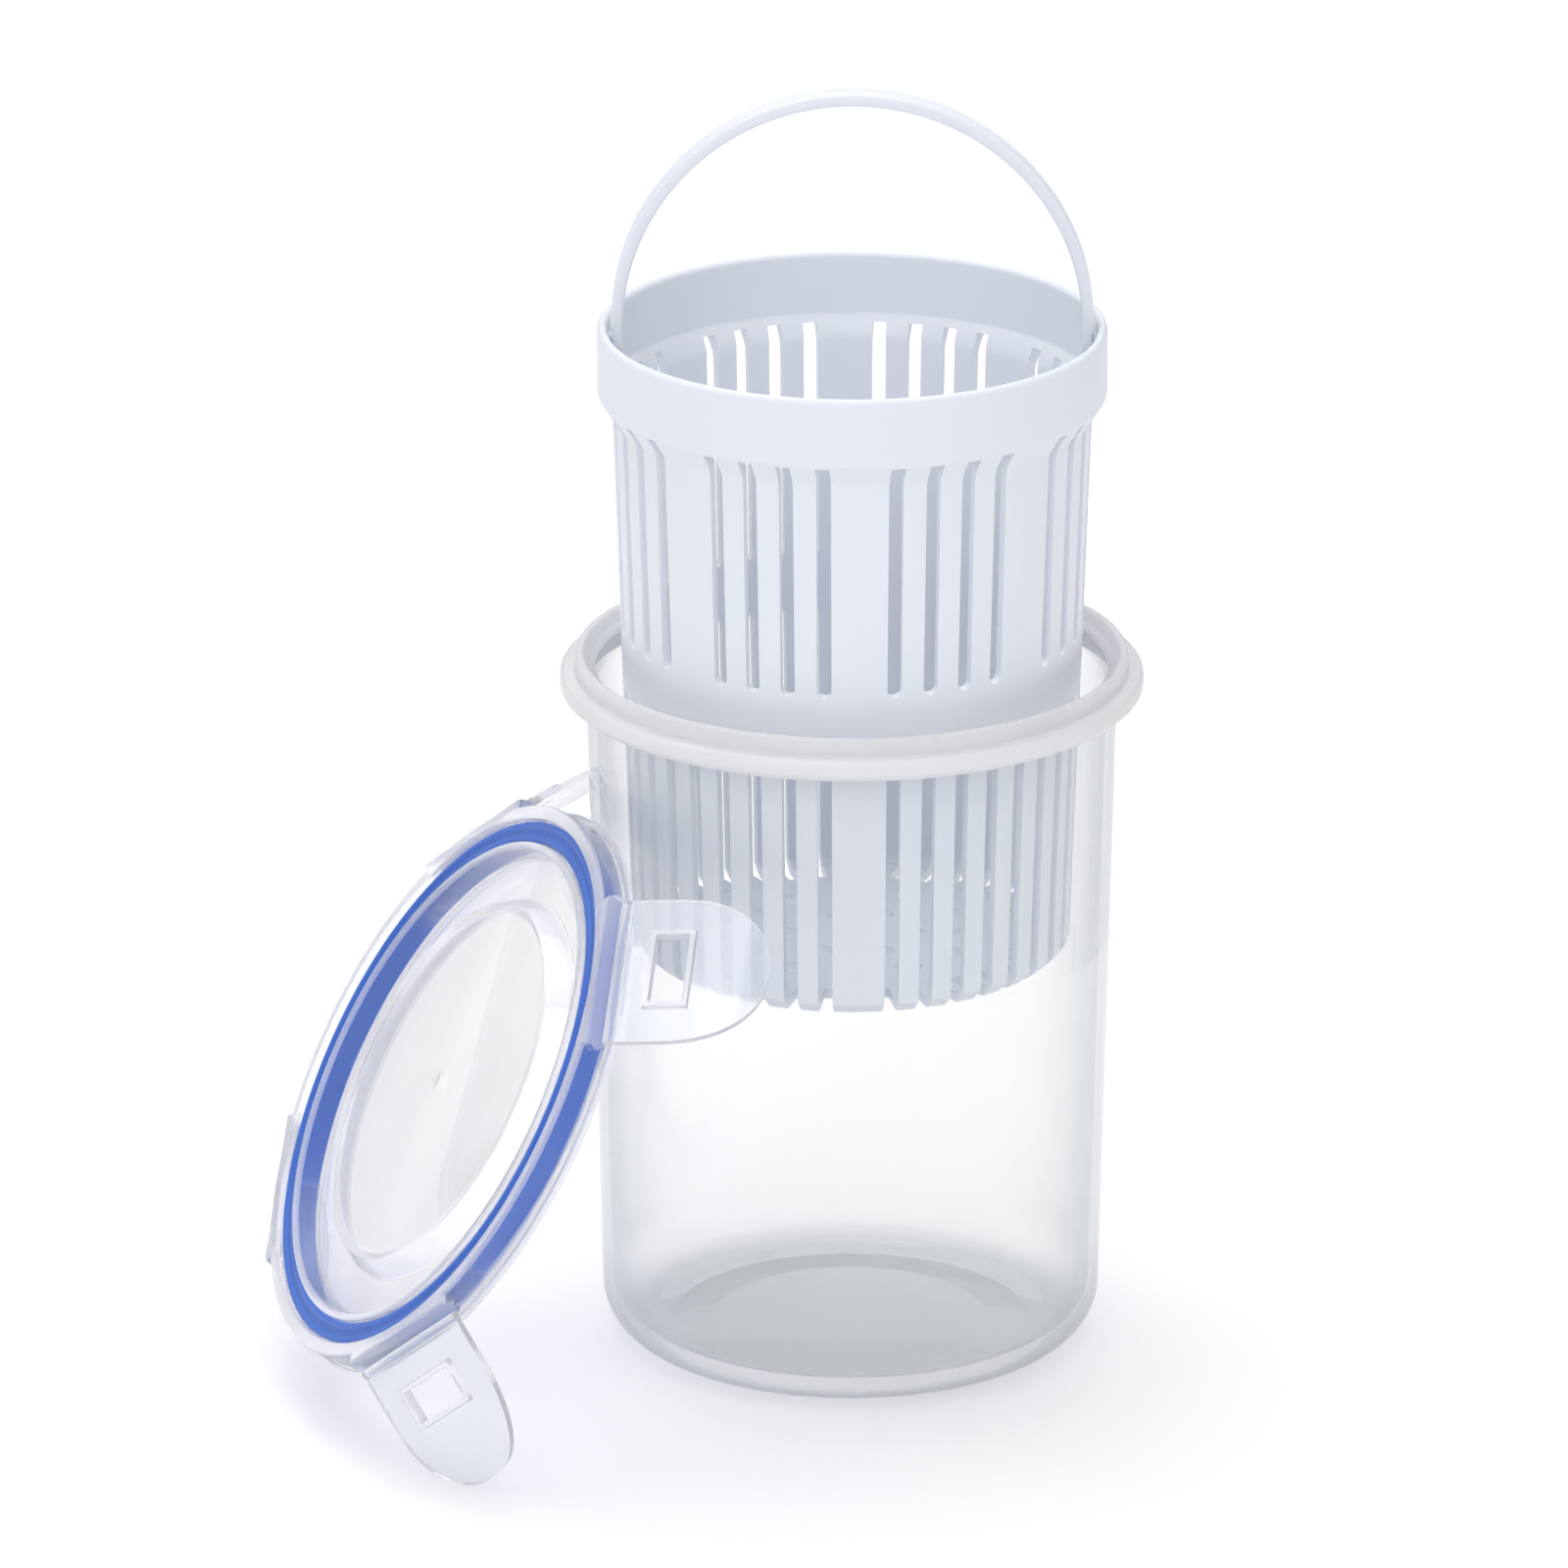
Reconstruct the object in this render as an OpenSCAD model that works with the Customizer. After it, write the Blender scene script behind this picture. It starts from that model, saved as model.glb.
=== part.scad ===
// Pickle keeper: a clear jar with a frosted collar pressed over its mouth, a slotted basket with a
// bail handle that lifts the food out of the brine, and a lid with a ring seal and four lock flaps.
// It is drawn with the basket lifted and the lid leaning on the jar, standing on two of its flaps.
// Origin: the centre of the jar's base, on the surface that it stands on. +Z is up.

/* [Jar] */
// Outer radius of the jar at its mouth
jar_r = 57.5; // [57.2:0.1:57.8]
// Outer radius of the jar just above its rounded bottom corner
jar_foot_r = 54.4; // [53.4:0.1:55.4]
// Height of the jar's rim
jar_h = 152.3; // [151.5:0.1:153]
// Thickness of the jar's wall
jar_wall = 2.2; // [1.6:0.1:2.3]
// Thickness of the jar's floor
jar_floor = 5; // [3.5:0.1:5.2]
// Radius of the rounded bottom corner
jar_corner_r = 11.8; // [9:0.1:14]
// Height of the straight part of the mouth, where the collar sits
mouth_h = 6; // [5:0.5:12]

/* [Collar] */
// Outer radius of the flange that the lid's flaps hook under
flange_r = 63.2; // [62:0.1:63.6]
// Thickness of the flange
flange_t = 4.1; // [3:0.1:5]
// Outer radius of the lip that the seal sits on
lip_r = 59.8; // [59:0.1:60.2]
// Inner radius of the lip
lip_bore_r = 56.8; // [56:0.1:57]
// Height of the lip above the flange
lip_h = 3.9; // [3:0.1:5]
// Gap between the collar and the jar's mouth
collar_fit = 0.05; // [0.03:0.01:0.1]

/* [Basket] */
// How far the basket is lifted from the jar's floor
basket_lift = 83.6; // [0:0.1:140]
// Height of the basket
basket_h = 141.1; // [125:0.1:142]
// Outer radius of the band round the rim
band_r = 54.8; // [54:0.1:55]
// Height of the band
band_h = 14.9; // [12:0.1:17]
// Thickness of the band
band_t = 2.3; // [2:0.1:2.5]
// Height of the chamfer under the band
band_chamfer_h = 5; // [3:0.1:6]
// Outer radius of the wall at the top
wall_top_r = 51.6; // [51:0.1:52]
// Outer radius of the wall at the bottom
wall_foot_r = 47.6; // [46:0.1:49]
// Thickness of the wall
wall_t = 1.9; // [1.5:0.1:2.2]
// Thickness of the basket's floor
basket_floor_t = 2.2; // [1.6:0.1:3]
// Chamfer round the bottom edge
foot_chamfer = 3; // [1:0.1:4]

/* [Slots] */
// Width of each slot
slot_w = 3.1; // [2:0.1:4]
// Angle of the first slot, from the middle of the plain panel
slot_first = 10.2; // [9:0.1:12]
// Angle between slots
slot_pitch = 9.1; // [9:0.05:9.2]
// Height of the basket's plain ring above the lower slots, from the basket's bottom
lower_slot_top = 61; // [40:0.5:64]
// Height of the upper slots' lower ends, from the basket's bottom
upper_slot_foot = 73; // [70:0.5:90]
// Radius in the floor where the lower slots end
floor_slot_r = 36; // [33:0.5:40]
// Diameter of the drain holes in the floor
drain_d = 6; // [3:0.5:7]

/* [Handle] */
// Outer radius of the handle's half circle
handle_r = 51.8; // [51.5:0.1:51.9]
// Thickness of the strip
handle_t = 2.6; // [2:0.1:3]
// Width of the strip
handle_w = 6; // [5:0.1:6.4]
// Width of the raised edges along the strip
handle_edge_w = 0.8; // [0.5:0.1:1.2]
// Depth of the channel between the raised edges
handle_channel = 0.4; // [0.2:0.1:0.8]
// Depth of the pivots below the basket's rim
pivot_depth = 3.4; // [3:0.1:5]
// Radius of each pivot pin
pin_r = 1.5; // [1.2:0.05:1.8]
// Gap round each pivot pin
pin_fit = 0.06; // [0.03:0.01:0.1]

/* [Lid] */
// Outer radius of the lid's skirt
skirt_r = 64.2; // [63.8:0.1:64.4]
// Thickness of the skirt
skirt_t = 3.3; // [3:0.1:3.4]
// Height of the lid from the skirt's edge to its top
lid_h = 8.2; // [8:0.1:9]
// Thickness of the lid's top
lid_t = 1.6; // [1.2:0.1:1.8]
// Height of the skirt's edge below the seal's face
skirt_drop = 0.8; // [0.4:0.1:1.2]
// Radius of the raised middle panel
panel_r = 41.5; // [36:0.5:44]
// Inner radius of the wall that holds the seal in
plug_r = 53.9; // [52:0.1:54]

/* [Seal] */
// Outer radius of the seal
seal_r = 60.6; // [60.4:0.1:60.7]
// Inner radius of the seal
seal_bore_r = 55.9; // [55.8:0.1:56.2]
// Thickness of the seal
seal_t = 6; // [5.6:0.1:6.2]
// Radius of the two ridges on the seal's face
ridge_r = 0.9; // [0.6:0.1:1]

/* [Lock flaps] */
// Length of each flap from its hinge
flap_l = 33; // [32:0.1:34]
// Width of each flap
flap_w = 35.4; // [34:0.1:36.6]
// Thickness of each flap
flap_t = 1.4; // [1:0.1:1.6]
// Distance from the lid's axis to each hinge
hinge_r = 64.9; // [64.7:0.1:65.2]
// Height of each hinge above the seal's face
hinge_h = 3.4; // [3:0.1:3.6]
// Radius of the hinge's round edge
barrel_r = 1; // [0.8:0.1:1]
// Gap round the hinge's round edge
barrel_fit = 0.1; // [0.05:0.01:0.15]
// Length of the window along the hinge
window_l = 16.7; // [12:0.1:18]
// Width of the window
window_w = 7.5; // [6:0.1:8]
// Distance from the hinge to the window's middle
window_x = 11.8; // [11:0.1:13]
// Distance from the hinge to where the finger lift starts to curve
curl_start = 19; // [18:0.5:22]
// Radius of the finger lift's curve
curl_r = 60; // [45:1:90]

/* [Lid pose] */
// Lean of the lid from level
lid_lean = 59.6; // [58:0.1:60]
// Turn of the lid about the vertical
lid_yaw = 18.7; // [16:0.1:20]
// Place of the seal's centre along X
lid_x = -89.6; // [-92:0.1:-88.7]
// Place of the seal's centre along Y
lid_y = -38.7; // [-42:0.1:-38.7]
// Height of the seal's centre
lid_z = 71.3; // [71.3:0.1:74]
// Turn of the first flap from the lid's highest point
flap_phase = 45.2; // [43:0.1:47]
// Fold of the right, front, left and rear flaps past the lid's plane
flap_folds = [43, 46, 44, 43]; // [0:1:50]

/* [Hidden] */
$fn = 96;
eps = 0.01;

// Heights on the jar
flange_top = jar_h + 0.2;
flange_foot = flange_top - flange_t;
lip_top = flange_top + lip_h;

// Heights on the basket
basket_foot = jar_floor + 0.4 + basket_lift;
rim_top = basket_foot + basket_h;
band_foot = rim_top - band_h;
wall_top = band_foot - band_chamfer_h;
rim_round = band_t / 2;
pivot_z = rim_top - pivot_depth;

// Slot places in one quarter turn: the upper row leaves out one place for a plain bar
lower_places = [0 : 8];
upper_places = [0, 1, 2, 3, 5, 6, 7, 8];

// Heights in the lid's own frame, where 0 is the seal's face and +Z is the lid's outer side
skirt_foot = -skirt_drop;
lid_top = skirt_foot + lid_h;
recess_z = lid_top - lid_t - 0.8;
groove_top = seal_t + 0.1;
panel_z = -0.2;
hinge_pad_x = hinge_r - barrel_r;

// ---- Jar ----

module jar_profile() {
    corner = jar_corner_r;
    inner_corner = corner - jar_wall - 1.6;
    bore_foot_r = jar_foot_r - jar_wall;
    bore_r = jar_r - jar_wall;
    taper_top = jar_h - mouth_h;
    difference() {
        union() {
            square([jar_foot_r - corner, corner]);
            translate([jar_foot_r - corner, corner]) circle(r = corner);
            polygon([[0, corner], [jar_foot_r, corner], [jar_r, taper_top],
                     [jar_r, jar_h - jar_wall / 2], [0, jar_h - jar_wall / 2]]);
            translate([jar_r - jar_wall / 2, 0]) mouth_round();
        }
        translate([0, jar_floor]) square([bore_foot_r - inner_corner, inner_corner + eps]);
        translate([bore_foot_r - inner_corner, jar_floor + inner_corner]) circle(r = inner_corner);
        polygon([[0, jar_floor + inner_corner], [bore_foot_r, jar_floor + inner_corner],
                 [bore_r, taper_top], [bore_r, jar_h + 1], [0, jar_h + 1]]);
        translate([-2 * jar_r, -1]) square([2 * jar_r, 2 * jar_h]);
    }
}

module mouth_round() {
    translate([0, jar_h - jar_wall / 2]) circle(d = jar_wall);
}

module jar() {
    color("aliceblue", 0.35) rotate_extrude() jar_profile();
}

// ---- Collar ----

module collar_profile() {
    edge = 1.2;
    bore = jar_r + collar_fit;
    difference() {
        union() {
            translate([bore, flange_foot]) square([flange_r - edge - bore, flange_t]);
            translate([bore, flange_foot + edge]) square([flange_r - bore, flange_t - 2 * edge]);
            translate([flange_r - edge, flange_foot + edge]) circle(r = edge);
            translate([flange_r - edge, flange_top - edge]) circle(r = edge);
            // a low step round the lower edge of the flange
            translate([bore, flange_foot - 0.8]) square([flange_r - 1.4 - bore, 1]);
            translate([lip_bore_r, flange_top - eps]) square([lip_r - lip_bore_r, lip_h - 0.6]);
            translate([lip_bore_r + 0.6, lip_top - 0.6]) square([lip_r - lip_bore_r - 1.2, 0.6]);
            translate([lip_bore_r + 0.6, lip_top - 0.6]) circle(r = 0.6);
            translate([lip_r - 0.6, lip_top - 0.6]) circle(r = 0.6);
        }
    }
}

module collar() {
    color("ghostwhite", 0.8) rotate_extrude() collar_profile();
}

// ---- Basket ----

module basket_profile() {
    band_bore = band_r - band_t;
    bore_top = wall_top_r - wall_t;
    bore_foot = wall_foot_r - wall_t;
    inner_floor = basket_foot + basket_floor_t;
    difference() {
        union() {
            polygon([[0, basket_foot], [wall_foot_r - foot_chamfer, basket_foot],
                     [wall_foot_r, basket_foot + foot_chamfer], [wall_top_r, wall_top],
                     [band_r, band_foot], [band_r, rim_top - rim_round],
                     [0, rim_top - rim_round]]);
            translate([band_r - rim_round, rim_top - rim_round]) circle(r = rim_round);
        }
        polygon([[0, inner_floor], [bore_foot, inner_floor], [bore_top, band_foot - 2],
                 [band_bore, band_foot + 1], [band_bore, rim_top + 1], [0, rim_top + 1]]);
    }
}

// A slot's outline with one round end, standing on y = 0, cut outwards from radius r
module slot_cut(r, h, round_top) {
    half = slot_w / 2;
    translate([r, 0, 0]) rotate([90, 0, 90]) linear_extrude(band_r + 5 - r) {
        translate([-half, round_top ? 0 : half]) square([slot_w, h - half]);
        translate([0, round_top ? h - half : half]) circle(r = half, $fn = 32);
    }
}

module quarter_turns(places) {
    for (quarter = [0 : 90 : 270], place = places)
        rotate([0, 0, quarter + slot_first + place * slot_pitch]) children();
}

module basket() {
    color("white") difference() {
        rotate_extrude() basket_profile();
        translate([0, 0, basket_foot + upper_slot_foot]) quarter_turns(upper_places)
            slot_cut(44, band_foot - 0.4 - basket_foot - upper_slot_foot, false);
        translate([0, 0, basket_foot - 1]) quarter_turns(lower_places)
            slot_cut(floor_slot_r, lower_slot_top + 1, true);
        for (ring = [[0, 1], [13, 6], [25, 12]], i = [1 : ring[1]])
            rotate([0, 0, i * 360 / ring[1]]) translate([ring[0], 0, basket_foot - 1])
                cylinder(d = drain_d, h = basket_floor_t + 2, $fn = 32);
        translate([-band_r - 1, 0, pivot_z]) rotate([0, 90, 0])
            cylinder(r = pin_r + pin_fit, h = 2 * band_r + 2, $fn = 48);
    }
}

// ---- Handle ----

module handle_leg() {
    inset = 0.5;
    translate([handle_r - handle_t, 0, pivot_z]) rotate([90, 0, 90]) {
        linear_extrude(handle_t - handle_channel) {
            translate([-handle_w / 2, 0]) square([handle_w, pivot_depth]);
            circle(d = handle_w, $fn = 64);
        }
        translate([0, 0, inset])
            cylinder(r = pin_r, h = handle_t + band_r - handle_r - 0.3 - inset, $fn = 48);
    }
}

module handle() {
    color("white") {
        translate([0, 0, rim_top]) rotate([90, 0, 0]) rotate_extrude(angle = 180, $fn = 180) difference() {
            translate([handle_r - handle_t, -handle_w / 2]) square([handle_t, handle_w]);
            translate([handle_r - handle_channel, -handle_w / 2 + handle_edge_w])
                square([handle_channel + 1, handle_w - 2 * handle_edge_w]);
        }
        handle_leg();
        mirror([1, 0, 0]) handle_leg();
    }
}

// ---- Lid, in its own frame ----

module lid_frame() {
    translate([lid_x, lid_y, lid_z]) rotate([0, 0, lid_yaw]) rotate([0, -lid_lean, 0])
        rotate([180, 0, 0]) children();
}

module lid_profile() {
    skirt_bore = skirt_r - skirt_t;
    plug_t = seal_bore_r - 0.1 - plug_r;
    slope = 3;
    difference() {
        union() {
            // skirt, with a round edge at its foot
            translate([skirt_bore, skirt_foot + 0.8]) square([skirt_t, lid_top - skirt_foot - 0.8]);
            translate([skirt_bore, skirt_foot + 0.4]) square([skirt_t - 0.8, 1]);
            translate([skirt_bore + 0.8, skirt_foot]) square([skirt_t - 1.6, 1]);
            translate([skirt_r - 0.8, skirt_foot + 0.8]) circle(r = 0.8);
            translate([skirt_bore + 0.8, skirt_foot + 0.8]) circle(r = 0.8);
            // thin flange round the top
            translate([skirt_bore, lid_top - 1.8]) square([skirt_t + 0.2, 1.8]);
            translate([skirt_r + 0.2, lid_top - 1]) circle(r = 0.6);
            // top over the seal, and the wall that holds the seal in
            translate([plug_r, groove_top]) square([skirt_r - 1 - plug_r, lid_top - groove_top]);
            translate([plug_r, 0.2]) square([plug_t, groove_top]);
            translate([plug_r + plug_t / 2, 0.2]) circle(d = plug_t);
            // recessed ring, sloping wall and raised middle panel
            polygon([[panel_r, panel_z], [panel_r + slope, recess_z], [plug_r + 0.5, recess_z],
                     [plug_r + 0.5, recess_z + lid_t], [panel_r + slope - lid_t, recess_z + lid_t],
                     [panel_r - lid_t, panel_z + lid_t], [0, panel_z + lid_t], [0, panel_z]]);
        }
        translate([-2 * skirt_r, -lid_h]) square([2 * skirt_r, 3 * lid_h]);
    }
}

// A flat-faced pad on the skirt that carries one hinge, with pointed ends
module hinge_pad() {
    half = flap_w / 2 + 0.4;
    top = hinge_h + 0.5;
    mid = (skirt_foot + top) / 2;
    translate([skirt_r - skirt_t - 2, 0, 0]) rotate([90, 0, 90])
        linear_extrude(hinge_pad_x - skirt_r + skirt_t + 2)
            polygon([[-half, skirt_foot], [half, skirt_foot], [half + 1.2, mid], [half, top],
                     [-half, top], [-half - 1.2, mid]]);
}

// The flat behind one flap, and the groove that its hinge turns in
module hinge_cut() {
    l = flap_w + 8;
    translate([hinge_pad_x, -l / 2, -lid_h]) cube([lid_h, l, 3 * lid_h]);
    translate([hinge_r, l / 2, hinge_h]) rotate([90, 0, 0])
        cylinder(r = barrel_r + barrel_fit, h = l, $fn = 48);
}

module at_flap(i) {
    rotate([0, 0, flap_phase + 90 * i]) children();
}

module lid_cover() {
    color("lavender", 0.6) lid_frame() {
        difference() {
            union() {
                rotate_extrude() lid_profile();
                difference() {
                    for (i = [0 : 3]) at_flap(i) hinge_pad();
                    translate([0, 0, skirt_foot - 1])
                        cylinder(r = skirt_r - skirt_t, h = lid_h, $fn = 96);
                }
            }
            for (i = [0 : 3]) at_flap(i) hinge_cut();
        }
        // the moulding's gate mark
        translate([0, 0, panel_z - 0.4]) cylinder(r = 2, h = 0.5, $fn = 32);
    }
}

module lid_seal() {
    foot = ridge_r;
    color("royalblue") lid_frame() rotate_extrude() {
        translate([seal_bore_r, foot]) square([seal_r - seal_bore_r, seal_t - foot]);
        translate([seal_bore_r + ridge_r + 0.3, ridge_r]) circle(r = ridge_r);
        translate([seal_r - ridge_r, ridge_r]) circle(r = ridge_r);
    }
}

// ---- Lock flaps: hinge along Y at the origin, plate towards +X, inner face towards -Z ----

module flap_outline() {
    tip_r = flap_w / 2;
    translate([flap_l - tip_r, 0]) circle(r = tip_r);
    translate([0, -flap_w / 2]) square([flap_l - tip_r, flap_w]);
}

module flap_side() {
    translate([0, -flap_t / 2]) square([curl_start, flap_t]);
    intersection() {
        translate([curl_start, curl_r]) difference() {
            circle(r = curl_r + flap_t / 2, $fn = 256);
            circle(r = curl_r - flap_t / 2, $fn = 256);
        }
        translate([curl_start, -flap_t]) square([flap_l, curl_r / 2]);
    }
}

module window(grow) {
    translate([window_x - window_w / 2 - grow, -window_l / 2 - grow])
        square([window_w + 2 * grow, window_l + 2 * grow]);
}

module flap() {
    frame_t = 1.1;
    difference() {
        union() {
            intersection() {
                translate([0, 0, -flap_l]) linear_extrude(2 * flap_l) flap_outline();
                rotate([90, 0, 0]) translate([0, 0, -flap_w]) linear_extrude(2 * flap_w) flap_side();
            }
            // raised frame that hooks under the collar
            translate([0, 0, -flap_t / 2 - frame_t]) linear_extrude(frame_t + 0.2) window(frame_t);
            translate([0, flap_w / 2, 0]) rotate([90, 0, 0])
                cylinder(r = barrel_r, h = flap_w, $fn = 48);
        }
        translate([0, 0, -flap_t - 2]) linear_extrude(2 * flap_t + 4) window(0);
    }
}

module placed_flap(i) {
    color("lavender", 0.6) lid_frame() at_flap(i) translate([hinge_r, 0, hinge_h])
        rotate([0, -flap_folds[i], 0]) flap();
}

module flap_right() { placed_flap(0); }
module flap_front() { placed_flap(1); }
module flap_left() { placed_flap(2); }
module flap_rear() { placed_flap(3); }

jar();
collar();
basket();
handle();
lid_cover();
lid_seal();
flap_right();
flap_front();
flap_left();
flap_rear();
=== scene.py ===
"""The strainer jar: detailed pieces that stand for the CAD nodes, with their materials.

Lengths in this file are in millimetres until piece() turns them into metres.
"""
import math

import bmesh
import bpy
from mathutils import Matrix, Vector


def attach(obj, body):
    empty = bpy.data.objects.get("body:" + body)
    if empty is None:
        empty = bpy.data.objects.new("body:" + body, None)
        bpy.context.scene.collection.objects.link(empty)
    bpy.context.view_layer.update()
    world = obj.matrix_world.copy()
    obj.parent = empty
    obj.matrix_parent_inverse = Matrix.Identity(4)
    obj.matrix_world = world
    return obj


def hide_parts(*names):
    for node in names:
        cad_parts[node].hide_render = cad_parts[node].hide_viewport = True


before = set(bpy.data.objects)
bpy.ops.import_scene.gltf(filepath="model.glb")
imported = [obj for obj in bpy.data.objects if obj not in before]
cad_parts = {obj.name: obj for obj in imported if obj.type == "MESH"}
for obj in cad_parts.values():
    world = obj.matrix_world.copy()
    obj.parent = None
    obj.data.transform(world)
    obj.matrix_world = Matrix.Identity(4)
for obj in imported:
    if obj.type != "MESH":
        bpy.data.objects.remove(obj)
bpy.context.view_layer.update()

MM = 0.001
SPIN_STEPS = 256
ARCH_STEPS = 96
# an edge that turns by more degrees than this is shaded as a crease
CREASE_ANGLE = 38.0

# ---- Sizes ----

# These follow the CAD source, apart from a few. The lid's pads stand at PAD_X, 0.15 mm further
# in than the CAD's, and are plain flats without its hinge grooves, so that the flaps' round
# edges clear them. UPPER_SLOT_TOP is 0.2 mm lower. SEAT_BORE, SLOT_MARGIN, TIP_L, TIP_POWER
# and WINDOW_DRAFT are finer detail of this file's own.

# Jar
JAR_R = 57.5
JAR_FOOT_R = 54.4
JAR_H = 152.3
JAR_WALL = 2.2
JAR_FLOOR = 5.0
JAR_CORNER = 11.8
JAR_INNER_CORNER = 8.0
MOUTH_H = 6.0

# Collar
FLANGE_R = 63.2
FLANGE_TOP = 152.5
FLANGE_T = 4.1
LIP_R = 59.8
LIP_BORE = 56.8
LIP_TOP = 156.4
SEAT_BORE = 55.5

# Basket, which is held up out of the jar
BASKET_FOOT = 89.0
BAND_R = 54.8
RIM_TOP = 230.1
BASKET_FLOOR = 2.2
SLOT_W = 3.1
SLOT_FIRST = 10.2
SLOT_PITCH = 9.1
SLOTS_PER_QUARTER = 9
RIB_SLOT = 4
SLOT_MARGIN = 0.7
FLOOR_SLOT_R = 36.0
LOWER_SLOT_TOP = 61.0
UPPER_SLOT_FOOT = 73.0
UPPER_SLOT_TOP = 125.6
END_STEPS = 8
DRAIN_R = 3.0
DRAIN_RINGS = ((13, 6), (25, 12))

# Handle
HANDLE_R = 51.8
HANDLE_T = 2.6
HANDLE_W = 6.0
HANDLE_CHANNEL = 0.4
PIVOT_Z = 226.7
PIN_R = 1.5
PIN_HOLE = 1.56

# Lid cover and seal, in the lid's own frame: the outer face is up, at LID_TOP
SKIRT_R = 64.2
SKIRT_BORE = 60.9
PLUG_R = 55.8
PLUG_BORE = 53.9
LID_TOP = 7.4
GROOVE_TOP = 6.1
SEAL_T = 6.0
PAD_X = 63.75
PAD_TOP = 3.9
PAD_MIDDLE = 1.55
PAD_POINT = 1.2

# Lock flaps
HINGE_R = 64.9
HINGE_H = 3.4
FLAP_PHASE = 45.2
FLAP_L = 33.0
FLAP_W = 35.4
FLAP_T = 1.4
CURL_START = 19.0
CURL_R = 60.0
TIP_L = 21.5
TIP_POWER = 2.3
WINDOW_X = 11.8
WINDOW_W = 7.5
WINDOW_L = 16.7
WINDOW_FRAME = 1.1
WINDOW_DRAFT = 0.22
# name: (quarter turns round the lid, degrees folded out)
FLAPS = {"right": (0, 43), "front": (1, 46), "left": (2, 44), "rear": (3, 43)}

# Where the lid leans
LID_LEAN = 59.6
LID_YAW = 18.7
LID_AT = (-89.6, -38.7, 71.3)

# Camera: its place in metres, degrees below level, and focal length in millimetres
CAMERA_AT = (-0.01465, -2.5845, 1.0371)
CAMERA_DOWN = 19.43
CAMERA_LENS = 289.7


def turn(degrees, axis):
    """A rotation matrix."""
    return Matrix.Rotation(math.radians(degrees), 4, axis)


# From the lid's own frame to its place: turned over, leaned, then turned about the upright axis
LID = (Matrix.Translation(LID_AT) @ turn(LID_YAW, "Z") @ turn(-LID_LEAN, "Y")
       @ turn(180, "X"))


# ---- Outlines ----

def rounded(corners, steps, closed=True):
    """A polyline with each corner (x, y, radius) turned into an arc of so many steps."""
    out, count = [], len(corners)
    for i, (x, y, r) in enumerate(corners):
        if r <= 0 or (not closed and i in (0, count - 1)):
            out.append((x, y))
            continue
        p = Vector((x, y))
        a = (Vector(corners[i - 1][:2]) - p).normalized()
        b = (Vector(corners[(i + 1) % count][:2]) - p).normalized()
        half = a.angle(b) / 2
        centre = p + (a + b).normalized() * (r / math.sin(half))
        first = p + a * (r / math.tan(half)) - centre
        last = p + b * (r / math.tan(half)) - centre
        sweep = first.angle_signed(last)
        for k in range(steps + 1):
            t = -sweep * k / steps
            out.append((centre.x + first.x * math.cos(t) - first.y * math.sin(t),
                        centre.y + first.x * math.sin(t) + first.y * math.cos(t)))
    return out


def spun(loop, angles, place=None):
    """Vertices and faces of a closed (r, z) loop turned about Z.

    place, if given, moves a point: it takes (r, z, angle) and gives (r, angle).
    """
    verts, rows = [], []
    for r, z in loop:
        if r < 1e-6:
            verts.append((0.0, 0.0, z))
            rows.append([len(verts) - 1] * len(angles))
            continue
        row = []
        for a in angles:
            rr, aa = place(r, z, a) if place else (r, a)
            verts.append((rr * math.cos(aa), rr * math.sin(aa), z))
            row.append(len(verts) - 1)
        rows.append(row)
    faces, n = [], len(angles)
    for k in range(len(rows)):
        low, high = rows[k - 1], rows[k]
        for i in range(n):
            j = (i + 1) % n
            face = [low[i], low[j], high[j], high[i]]
            face = [v for p, v in enumerate(face) if v not in face[:p]]
            if len(face) > 2:
                faces.append(face)
    return verts, faces


def even(count):
    """Angles spread evenly round a turn, in radians."""
    return [2 * math.pi * i / count for i in range(count)]


# ---- Materials ----

def shader(name, **inputs):
    """A node material with these numbers on its Principled BSDF's own sockets."""
    material = bpy.data.materials.new(name)
    material.use_nodes = True
    tree = material.node_tree
    principled = tree.nodes["Principled BSDF"]
    for key, value in inputs.items():
        principled.inputs[key.replace("_", " ")].default_value = value
    return material, tree, principled


def mottle(tree, principled, low, high, scale):
    """The base colour wanders softly between two close tints. Gives its coordinates node."""
    where = tree.nodes.new("ShaderNodeTexCoord")
    noise = tree.nodes.new("ShaderNodeTexNoise")
    ramp = tree.nodes.new("ShaderNodeValToRGB")
    noise.inputs["Scale"].default_value = scale
    noise.inputs["Detail"].default_value = 3.0
    ramp.color_ramp.elements[0].color = (*low, 1)
    ramp.color_ramp.elements[1].color = (*high, 1)
    ramp.color_ramp.elements[0].position = 0.3
    ramp.color_ramp.elements[1].position = 0.7
    tree.links.new(where.outputs["Object"], noise.inputs["Vector"])
    tree.links.new(noise.outputs["Fac"], ramp.inputs["Fac"])
    tree.links.new(ramp.outputs["Color"], principled.inputs["Base Color"])
    return where


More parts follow.
